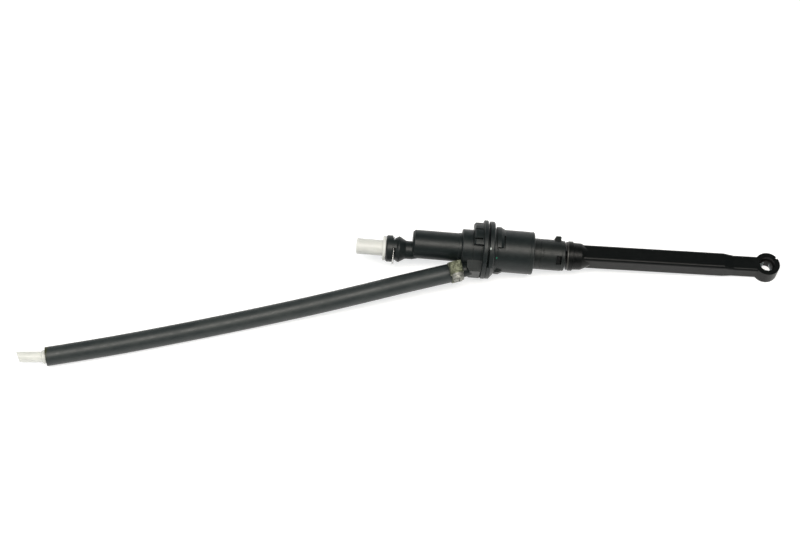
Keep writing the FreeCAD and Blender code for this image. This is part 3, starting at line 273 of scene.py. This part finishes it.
housing_plastic = moulded_plastic(
    "housing_plastic", deep=(0.0036, 0.0062, 0.0066), cloudy=(0.0075, 0.0112, 0.0110),
    rough=(0.38, 0.48), marks=(PAINT_DOT, PAINTED_GLINT))
guide_plastic = moulded_plastic(
    "guide_plastic", deep=(0.0034, 0.0052, 0.0052), cloudy=(0.0066, 0.0090, 0.0080),
    rough=(0.40, 0.50))
rod_plastic = moulded_plastic(
    "rod_plastic", deep=(0.0012, 0.0016, 0.0015), cloudy=(0.0024, 0.0030, 0.0028),
    rough=(0.34, 0.44), wear=0.0, edge_radius=0.0001, shine=0.2)
inner_plastic = moulded_plastic(
    "inner_plastic", deep=(0.0016, 0.0018, 0.0018), cloudy=(0.0030, 0.0032, 0.0030),
    rough=(0.45, 0.55), wear=0.1, shine=0.2)
print("plastics", [m.name for m in (housing_plastic, guide_plastic, rod_plastic, inner_plastic)])

# %% [markdown]
# ## Rubber
#
# The hose is extruded rubber under a film of dust, so it is slate grey and nearly matte, with
# faint drawn lines along it and an olive tinge at its fresh cut end. Seals are darker, smoother
# and slightly oily. One function makes both, because only colour, roughness and grain differ.

# %% Rubbers
CUT_RUBBER = (0.034, 0.036, 0.010)


def rubber(name, deep, dusty, rough, grain_depth, cut_end=None):
    """Dusty rubber; cut_end is the pair of places along X between which it turns olive."""
    finish = Finish(name)
    dust = finish.remap(finish.noise(45.0, detail=6.0, roughness=0.65), 0.35, 0.72)
    fine = finish.noise(1500.0, detail=3.0, roughness=0.6)
    body = finish.mix(dust, deep, dusty)
    colour = finish.mix(finish.remap(fine, 0.5, 0.8, 0.0, 0.3), body, dusty)
    if cut_end:
        colour = finish.mix(finish.past(*cut_end), colour, CUT_RUBBER)
    worn = finish.noise(180.0, detail=4.0)
    lines = finish.noise(700.0, detail=2.0, stretch=(0.06, 1.0, 1.0))
    drawn = finish.bump(lines, grain_depth, 0.6)
    return finish.finish(colour, finish.remap(worn, 0.3, 0.7, *rough),
                         finish.bump(fine, grain_depth, 0.5, drawn))


hose_rubber = rubber(
    "hose_rubber", deep=(0.0150, 0.0200, 0.0208), dusty=(0.028, 0.034, 0.033),
    rough=(0.42, 0.56), grain_depth=0.00005, cut_end=(-0.3372, -0.3392))
seal_rubber = rubber(
    "seal_rubber", deep=(0.012, 0.012, 0.012), dusty=(0.030, 0.029, 0.024),
    rough=(0.34, 0.50), grain_depth=0.00002)
print("rubbers", hose_rubber.name, seal_rubber.name)

# %% [markdown]
# ## Metals
#
# The clamp is zinc plated, dull and blotched with a faint olive cast, and the springs and wire
# are bright drawn steel. Brushed metal could use anisotropy, but small pressed parts show their
# making better as fine scratches, so a stretched noise sets both the roughness and a shallow
# bump.

# %% Plated metal
BRIGHT_EDGE = (0.55, 0.55, 0.50)
METAL_EDGE_RADIUS = 0.00015


def plated_metal(name, bright, dull, rough, stretch, metal=1.0, patch=220.0):
    """Scratched metal in two tones; patch is how fine the blotches are, in turns per metre."""
    finish = Finish(name)
    patches = finish.remap(finish.noise(patch, detail=5.0, roughness=0.65), 0.42, 0.58)
    scratches = finish.noise(1800.0, detail=3.0, roughness=0.6, stretch=stretch)
    edge, softened = finish.edges(METAL_EDGE_RADIUS)
    body = finish.mix(patches, bright, dull)
    colour = finish.mix(finish.remap(edge, 0.0, 1.0, 0.0, 0.6), body, BRIGHT_EDGE)
    finish.shader.inputs["Metallic"].default_value = metal
    return finish.finish(colour, finish.remap(scratches, 0.3, 0.7, *rough),
                         finish.bump(scratches, 0.00002, 0.5, softened))


zinc_plate = plated_metal(
    "zinc_plate", bright=(0.20, 0.21, 0.145), dull=(0.060, 0.066, 0.040), rough=(0.50, 0.70),
    stretch=(1.0, 0.12, 1.0), metal=0.6, patch=420.0)
zinc_head = plated_metal(
    "zinc_head", bright=(0.34, 0.34, 0.31), dull=(0.16, 0.16, 0.145), rough=(0.46, 0.62),
    stretch=(0.4, 0.4, 0.4), metal=0.6, patch=520.0)
bright_steel = plated_metal(
    "bright_steel", bright=(0.66, 0.66, 0.65), dull=(0.46, 0.46, 0.46), rough=(0.18, 0.32),
    stretch=(0.15, 1.0, 1.0))
hard_aluminium = plated_metal(
    "hard_aluminium", bright=(0.60, 0.60, 0.61), dull=(0.44, 0.44, 0.45), rough=(0.26, 0.40),
    stretch=(1.0, 0.2, 0.2))
print("metals", zinc_plate.name, zinc_head.name, bright_steel.name, hard_aluminium.name)

# %% [markdown]
# ## Transport plugs
#
# The port's cap and the hose's plug are soft natural polythene, milky and a little see-through.
# Full transmission would look like glass, so light is let into the skin with subsurface
# scattering and the colour is warmed slightly where dust has settled.

# %% Milky polythene
milky = Finish("milky_polythene")
settled = milky.remap(milky.noise(160.0, detail=5.0, roughness=0.6), 0.4, 0.75)
handled = milky.noise(500.0, detail=3.0)
milky.shader.inputs["Subsurface Weight"].default_value = 0.6
milky.shader.inputs["Subsurface Radius"].default_value = (1.0, 1.0, 1.0)
milky.shader.inputs["Subsurface Scale"].default_value = 0.006
milky_polythene = milky.finish(
    milky.mix(settled, (0.70, 0.705, 0.67), (0.64, 0.645, 0.61)),
    milky.remap(handled, 0.3, 0.7, 0.32, 0.46),
    milky.bump(milky.noise(1200.0, detail=2.0), 0.00004, 0.4))
print("plugs", milky_polythene.name)

# %% [markdown]
# ## Giving each CAD piece its finish
#
# A CAD piece keeps its mesh and only its material slot changes, so a table of names is enough.
# Pieces that are replaced further on still get one, so that none is ever left bare.

# %% Assign finishes
FINISHES = {
    housing_plastic: ("front_housing", "rear_sleeve"),
    guide_plastic: ("piston_guide",),
    rod_plastic: ("pushrod",),
    inner_plastic: ("feed_ring", "guide_bush", "ball_retainer", "eye_socket_liner"),
    seal_rubber: ("primary_seal", "secondary_seal", "spigot_seal", "port_o_ring",
                  "return_stop_ring", "dust_ring"),
    hose_rubber: ("feed_hose",),
    zinc_plate: ("clamp_band", "clamp_housing"),
    zinc_head: ("clamp_screw",),
    bright_steel: ("wire_clip", "return_spring", "spring_seat", "eye_retaining_clip"),
    hard_aluminium: ("piston",),
    milky_polythene: ("transport_cap", "hose_plug"),
}
for material, names in FINISHES.items():
    for name in names:
        nodes[name].data.materials.clear()
        nodes[name].data.materials.append(material)
unpainted = sorted(set(nodes) - {name for names in FINISHES.values() for name in names})
print("pieces without a finish:", unpainted)

# %% [markdown]
# ## The feed hose
#
# A hose of this bore is stiff: it leaves the nipple level, comes down over a good hand's width
# and then lies along the bench. Its centreline is one smooth NURBS curve through given
# control points, with a round bevel for the wall. The order is set after the points are added,
# because set before it would fall back to straight runs.

# %% Hose route
HOSE_RADIUS = 0.00755
HOSE_ROUTE = [
    (-0.01852, -0.01853, -0.00258), (-0.05665, -0.03062, -0.00235),
    (-0.098, -0.0424, -0.0063), (-0.139, -0.0523, -0.0122),
    (-0.181, -0.063, -0.01565), (-0.222, -0.0749, -0.01565),
    (-0.262, -0.086, -0.01565), (-0.300, -0.096, -0.01565),
    (-0.3394, -0.10526, -0.01565),
]
CONTROL_RUN = sum((Vector(b) - Vector(a)).length for a, b in zip(HOSE_ROUTE, HOSE_ROUTE[1:]))
print("hose control runs add up to", round(CONTROL_RUN, 4))

# %% Hose curve
hose_line = bpy.data.curves.new("feed_hose_line", "CURVE")
hose_line.dimensions = "3D"
hose_spline = hose_line.splines.new("NURBS")
hose_spline.points.add(len(HOSE_ROUTE) - 1)
for control, point in zip(hose_spline.points, HOSE_ROUTE):
    control.co = (*point, 1.0)
hose_spline.order_u = 3
hose_spline.use_endpoint_u = True
hose_line.resolution_u = 16
hose_line.bevel_depth = HOSE_RADIUS
hose_line.bevel_resolution = 12
hose_line.use_fill_caps = True
hose = bpy.data.objects.new("rubber_feed_hose", hose_line)
bpy.context.scene.collection.objects.link(hose)
hose_line.materials.append(hose_rubber)
print("hose", hose.name, "with", len(hose_spline.points), "control points")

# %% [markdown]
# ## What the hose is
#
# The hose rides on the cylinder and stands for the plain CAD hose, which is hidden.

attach(hose, "cylinder")
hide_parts("feed_hose")
print("hose declared,", round(2000 * HOSE_RADIUS, 1), "mm across")

# %% [markdown]
# ## The clamp's screw
#
# The worm screw tightens the band. Its round head is pressed, so it is domed, with a slot for a
# driver. A cylinder and a cone could be joined, but a full spin of one outline about the
# screw's own axis makes worm, head and dome as a single clean skin.

# %% Screw outline
WORM_TIP = -0.0042
WORM_RADIUS = 0.0027
WORM_CHAMFER = 0.0003
HEAD_START = 0.0050
DOME_START = 0.0090
HEAD_END = 0.0115
HEAD_RADIUS = 0.0045
DOME_STEP = 15

dome = [(DOME_START + (HEAD_END - DOME_START) * math.sin(math.radians(rise)),
         HEAD_RADIUS * math.cos(math.radians(rise))) for rise in range(0, 90, DOME_STEP)]
outline = [(WORM_TIP, 0.0), (WORM_TIP, WORM_RADIUS - WORM_CHAMFER),
           (WORM_TIP + WORM_CHAMFER, WORM_RADIUS), (HEAD_START, WORM_RADIUS),
           (HEAD_START, HEAD_RADIUS)] + dome + [(HEAD_END, 0.0)]
print("screw outline", len(outline), "points")

# %% Spin the screw
worm = bmesh.new()
line = [worm.verts.new((along, out, 0)) for along, out in outline]
edges = [worm.edges.new(pair) for pair in zip(line, line[1:])]
bmesh.ops.spin(worm, geom=line + edges, cent=(0, 0, 0), axis=(1, 0, 0),
               angle=math.tau, steps=48, use_merge=True)
bmesh.ops.remove_doubles(worm, verts=worm.verts, dist=1e-6)
print("spun", len(worm.faces), "faces")

# %% [markdown]
# ## The driver slot
#
# On the real screw the slot is struck into the dome. A boolean would do it and leave long thin
# triangles, so the dome is cut along two planes instead and the strip between is pushed in.

# %% Push in the driver slot
SLOT_HALF = 0.0006
SLOT_DEPTH = 0.0014
SLOT_RIM = 0.00075

for side_of in (-1, 1):
    bmesh.ops.bisect_plane(worm, geom=worm.verts[:] + worm.edges[:] + worm.faces[:],
                           plane_co=(0, side_of * SLOT_HALF, 0), plane_no=(0, 1, 0))
strip = [face for face in worm.faces
         if abs(face.calc_center_median().y) < SLOT_HALF
         and face.calc_center_median().x > DOME_START + SLOT_RIM]
pushed = bmesh.ops.extrude_face_region(worm, geom=strip)
bmesh.ops.delete(worm, geom=strip, context="FACES_ONLY")
bmesh.ops.translate(worm, vec=(-SLOT_DEPTH, 0, 0),
                    verts=[g for g in pushed["geom"] if isinstance(g, bmesh.types.BMVert)])
bmesh.ops.recalc_face_normals(worm, faces=worm.faces)
print("slot", round(2000 * SLOT_HALF, 1), "mm wide,", round(1000 * SLOT_DEPTH, 1), "mm deep")

# %% [markdown]
# ## Seating the screw
#
# The screw was spun about X at the origin, and on the clamp it lies along its joint's axis. The
# vertices are moved rather than the object, so that the object stays at the origin and its
# finish is read in the same coordinates as everything else.

# %% Seat the screw in the clamp
screw_joint = next(joint for joint in frame["joints"] if joint["name"] == "clamp_screw_turn")
facing = Vector(screw_joint["axis"]).normalized().to_track_quat("X", "Z").to_matrix().to_4x4()
seated = Matrix.Translation(screw_joint["pos_m"]) @ facing
bmesh.ops.transform(worm, matrix=seated, verts=worm.verts)
worm_data = bpy.data.meshes.new("worm_screw")
worm.to_mesh(worm_data)
worm.free()
worm_screw = bpy.data.objects.new("worm_screw", worm_data)
bpy.context.scene.collection.objects.link(worm_screw)
for face in worm_data.polygons:
    face.use_smooth = True
worm_data.set_sharp_from_angle(angle=math.radians(35))
worm_data.materials.append(zinc_head)
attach(worm_screw, "clamp_screw")
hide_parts("clamp_screw")

# %% [markdown]
# ## The bench
#
# The bench is a plain pale sheet lit from below, as on a light table. That keeps the shadows
# faint; more lamps would do the same but would also wash out the dark plastic.

# %% Bench
BENCH_HALF = 6.0

bench_mesh = bmesh.new()
bmesh.ops.create_grid(bench_mesh, x_segments=1, y_segments=1, size=BENCH_HALF)
bmesh.ops.translate(bench_mesh, verts=bench_mesh.verts, vec=(0, 0, BENCH))
bench_data = bpy.data.meshes.new("bench")
bench_mesh.to_mesh(bench_data)
bench_mesh.free()
bench = bpy.data.objects.new("bench", bench_data)
bpy.context.scene.collection.objects.link(bench)

paper = Finish("bench_paper")
paper_tone = paper.mix(paper.noise(3.0, detail=2.0), (0.52, 0.52, 0.52), (0.55, 0.55, 0.55))
paper_rough = paper.remap(paper.noise(40.0), 0.0, 1.0, 0.85, 0.95)
paper_grain = paper.bump(paper.noise(900.0), 0.00002, 0.3)
paper.shader.inputs["Emission Color"].default_value = (1.0, 1.0, 1.0, 1.0)
paper.shader.inputs["Emission Strength"].default_value = 0.68
bench_data.materials.append(paper.finish(paper_tone, paper_rough, paper_grain))
print("bench", round(2 * BENCH_HALF, 1), "m wide")

# %% [markdown]
# ## The light
#
# Small parts in dark plastic need large soft light, because their shape is told by long
# highlights. One wide warm light overhead draws the line along the cylinder, and two weaker
# ones and a dim cool sky keep the shadows open. Point lamps would give sparks instead of lines.

# %% Sky
SKY = (0.85, 1.0, 1.04, 1.0)
SKY_STRENGTH = 0.16

world = bpy.data.worlds.new("studio")
bpy.context.scene.world = world
world.use_nodes = True
background = world.node_tree.nodes["Background"]
background.inputs["Color"].default_value = SKY
background.inputs["Strength"].default_value = SKY_STRENGTH
bpy.context.scene.view_settings.view_transform = "Standard"
print("sky", SKY_STRENGTH)

# %% Soft lights
OBJECT_MIDDLE = (frame_box[0] + frame_box[1]) / 2


def soft_light(name, place, width, depth, power, colour=(1.0, 1.0, 1.0)):
    """A wide soft light at a place, pointed at the middle of the object."""
    data = bpy.data.lights.new(name, "AREA")
    data.shape = "RECTANGLE"
    data.size = width
    data.size_y = depth
    data.energy = power
    data.color = colour
    light = bpy.data.objects.new(name, data)
    bpy.context.scene.collection.objects.link(light)
    light.location = place
    light.rotation_euler = (OBJECT_MIDDLE - Vector(place)).to_track_quat("-Z", "Y").to_euler()


soft_light("overhead", (-0.06, -0.36, 1.22), width=1.6, depth=0.44, power=20.0,
           colour=(1.0, 0.955, 0.89))
soft_light("left_fill", (-1.3, -0.4, 0.9), width=0.8, depth=0.8, power=3.0)
soft_light("back_fill", (0.3, 1.3, 0.35), width=1.2, depth=0.4, power=2.0)
